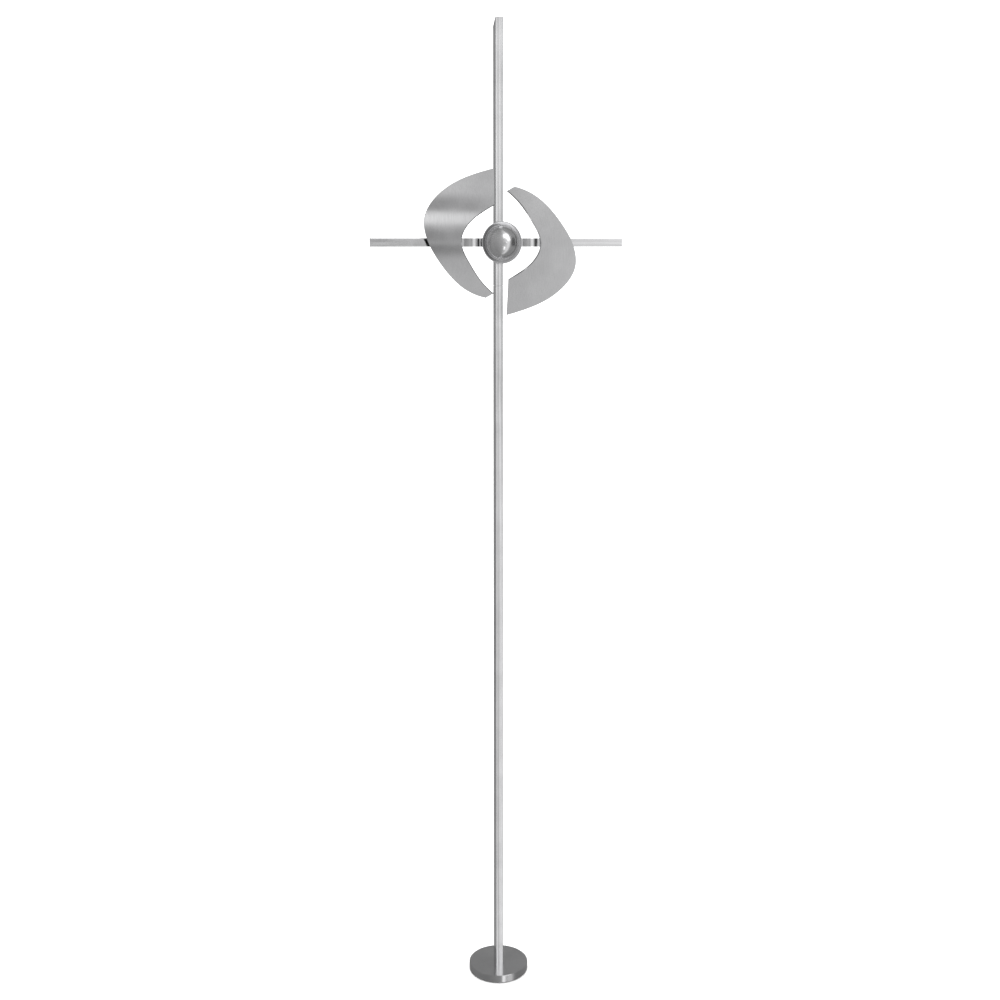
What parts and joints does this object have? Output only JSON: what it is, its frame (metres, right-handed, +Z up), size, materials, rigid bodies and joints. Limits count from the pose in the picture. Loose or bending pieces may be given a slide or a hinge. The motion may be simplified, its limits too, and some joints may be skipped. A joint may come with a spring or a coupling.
{
  "type": "wind spinner",
  "caption": "Tall garden wind spinner: a square steel post on a round foot, a fixed cross near the top, and a free-turning rotor of curved blades around a half-ball hub.",
  "frame": {"origin": "middle of the foot's underside, on the ground, under the post's axis", "axes": "+Z up along the post, -Y the front towards which the half-ball hub faces, X along the cross's side arms"},
  "size_m": [0.47, 0.115, 1.8],
  "materials": {
    "tube_steel": "ground lengthwise, satin",
    "foot_steel": "turned and ground in rings, satin",
    "turned_steel": "as turned",
    "arm_steel": "ground lengthwise, satin",
    "blade_steel": "ground crosswise, satin to bright",
    "dish_steel": "spun and brushed",
    "dome_steel": "finely brushed ball",
    "fastener_steel": "bright stainless",
    "bearing_steel": "ground and polished",
    "cage_plastic": "moulded",
    "pad_rubber": "matt"
  },
  "bodies": {
    "stand": {"base_plate": "foot_steel", "base_pad": "pad_rubber", "base_screw": "fastener_steel", "foot_plug": "turned_steel", "post_lower": "tube_steel", "joint_spigot": "turned_steel", "joint_screws": "fastener_steel", "post_upper": "tube_steel", "post_top_cap": "tube_steel", "crossbar_left": "tube_steel", "crossbar_right": "tube_steel", "crossbar_cap_left": "tube_steel", "crossbar_cap_right": "tube_steel", "axle_bolt": "fastener_steel", "crush_sleeve": "turned_steel", "rear_washer": "fastener_steel", "rear_cap_nut": "fastener_steel", "standoff_spacer": "turned_steel", "inner_ring_spacer": "turned_steel", "front_washer": "fastener_steel", "rear_bearing_inner_ring": "bearing_steel", "front_bearing_inner_ring": "bearing_steel"},
    "rotor": {"rotor_hub": "turned_steel", "rear_bearing_outer_ring": "bearing_steel", "front_bearing_outer_ring": "bearing_steel", "bearing_circlip": "fastener_steel", "rotor_arm_left": "arm_steel", "rotor_arm_right": "arm_steel", "blade_left": "blade_steel", "blade_right": "blade_steel", "hub_dish": "dish_steel", "dish_screws": "fastener_steel", "hub_dome": "dome_steel"},
    "rear_ball_set": {"rear_bearing_balls": "bearing_steel", "rear_bearing_cage": "cage_plastic"},
    "front_ball_set": {"front_bearing_balls": "bearing_steel", "front_bearing_cage": "cage_plastic"}
  },
  "joints": [
    {"name": "rotor_spin", "type": "hinge", "parent": "stand", "child": "rotor", "pos_m": [0, 0, 1.418], "axis": [0, -1, 0], "continuous": true},
    {"name": "rear_ball_set_roll", "type": "hinge", "parent": "stand", "child": "rear_ball_set", "pos_m": [0, 0, 1.418], "axis": [0, -1, 0], "continuous": true},
    {"name": "front_ball_set_roll", "type": "hinge", "parent": "stand", "child": "front_ball_set", "pos_m": [0, 0, 1.418], "axis": [0, -1, 0], "continuous": true}
  ],
  "couplings": [
    {"joint": "rear_ball_set_roll", "follows": "rotor_spin", "ratio": 0.636},
    {"joint": "front_ball_set_roll", "follows": "rotor_spin", "ratio": 0.636}
  ]
}
